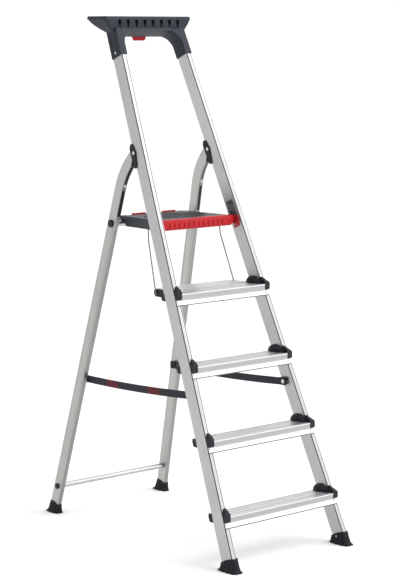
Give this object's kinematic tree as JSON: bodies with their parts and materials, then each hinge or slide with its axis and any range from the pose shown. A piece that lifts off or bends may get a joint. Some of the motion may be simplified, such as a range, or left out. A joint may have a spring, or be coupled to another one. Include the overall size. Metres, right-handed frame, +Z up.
{
  "type": "step ladder",
  "caption": "Folding aluminium platform step ladder with ribbed treads, a standing platform, rear support frame, safety straps and a top tool tray.",
  "frame": {"origin": "on the floor, midway between the front toes and the rear heels and between the stiles", "axes": "+Z up, -Y towards the climber, +X to the climber's right"},
  "size_m": [0.522, 1.026, 1.74],
  "materials": {
    "aluminium": "satin extruded aluminium",
    "grey_plastic": "textured blue-grey moulding",
    "black_plastic": "textured black moulding",
    "red_plastic": "satin red moulding",
    "foot_rubber": "matt black rubber",
    "steel": "zinc plated steel",
    "webbing": "woven polyester webbing",
    "sticker": "printed vinyl"
  },
  "bodies": {
    "front_frame": {"stile_left": "aluminium", "stile_right": "aluminium", "tread_1": "aluminium", "tread_2": "aluminium", "tread_3": "aluminium", "tread_4": "aluminium", "tread_1_cap_left": "black_plastic", "tread_1_cap_right": "black_plastic", "tread_2_cap_left": "black_plastic", "tread_2_cap_right": "black_plastic", "tread_3_cap_left": "black_plastic", "tread_3_cap_right": "black_plastic", "tread_4_cap_left": "black_plastic", "tread_4_cap_right": "black_plastic", "tread_rivets": "steel", "top_tray": "grey_plastic", "tray_rivets": "steel", "bucket_hook_pin": "steel", "hinge_plates_left": "black_plastic", "hinge_plates_right": "black_plastic", "hinge_pin_left": "steel", "hinge_pin_right": "steel", "front_foot_left": "foot_rubber", "front_foot_right": "foot_rubber", "platform_pins": "steel", "rear_deck_pins": "steel", "strap_rivets_front": "steel", "stile_label": "sticker"},
    "rear_frame": {"rear_leg_left": "aluminium", "rear_leg_right": "aluminium", "hinge_knuckle_left": "black_plastic", "hinge_knuckle_right": "black_plastic", "leg_strip_left": "black_plastic", "leg_strip_right": "black_plastic", "cross_tube": "aluminium", "lower_brace": "aluminium", "cross_tube_plugs": "black_plastic", "lower_brace_plugs": "black_plastic", "rear_foot_left": "foot_rubber", "rear_foot_right": "foot_rubber", "strap_rivets_rear": "steel"},
    "platform": {"platform_panel": "grey_plastic", "platform_front_bar": "red_plastic", "platform_handle": "red_plastic", "platform_hooks": "black_plastic"},
    "rods": {"rod_left": "steel", "rod_right": "steel"},
    "rear_deck": {"rear_deck": "aluminium", "rear_deck_sides": "black_plastic"},
    "strap_front": {"strap_front_left": "webbing", "strap_front_right": "webbing", "strap_front_fittings": "black_plastic"},
    "strap_rear": {"strap_rear_left": "webbing", "strap_rear_right": "webbing", "strap_rear_fittings": "black_plastic"},
    "bucket_hook": {"bucket_hook": "red_plastic"}
  },
  "joints": [
    {"name": "fold", "type": "hinge", "parent": "front_frame", "child": "rear_frame", "pos_m": [0, 0.1005, 1.28906], "axis": [-1, 0, 0], "range_deg": [0, 37.66]},
    {"name": "platform_fold", "type": "hinge", "parent": "front_frame", "child": "platform", "pos_m": [0, -0.013, 1.052], "axis": [1, 0, 0], "range_deg": [0, 66.66]},
    {"name": "deck_fold", "type": "hinge", "parent": "front_frame", "child": "rear_deck", "pos_m": [0, -0.07501, 0.841], "axis": [1, 0, 0], "range_deg": [0, 66.66]},
    {"name": "rod_swing", "type": "hinge", "parent": "platform", "child": "rods", "pos_m": [0, 0.049, 1.04], "axis": [-1, 0, 0], "range_deg": [0, 66.66]},
    {"name": "strap_front_fold", "type": "hinge", "parent": "front_frame", "child": "strap_front", "pos_m": [0, -0.239, 0.522], "axis": [-1, 0, 0], "range_deg": [0, 80.5]},
    {"name": "strap_rear_fold", "type": "hinge", "parent": "strap_front", "child": "strap_rear", "pos_m": [0, 0.06338, 0.50216], "axis": [1, 0, 0], "range_deg": [0, 167.53]},
    {"name": "bucket_hook_swing", "type": "hinge", "parent": "front_frame", "child": "bucket_hook", "pos_m": [0, 0.291, 1.678], "axis": [1, 0, 0], "range_deg": [0, 90]}
  ],
  "couplings": [
    {"joint": "platform_fold", "follows": "fold", "ratio": 1.7687},
    {"joint": "deck_fold", "follows": "fold", "ratio": 1.7687},
    {"joint": "rod_swing", "follows": "fold", "ratio": 1.7687},
    {"joint": "strap_front_fold", "follows": "fold", "ratio": 2.1363},
    {"joint": "strap_rear_fold", "follows": "fold", "ratio": 4.4472}
  ]
}
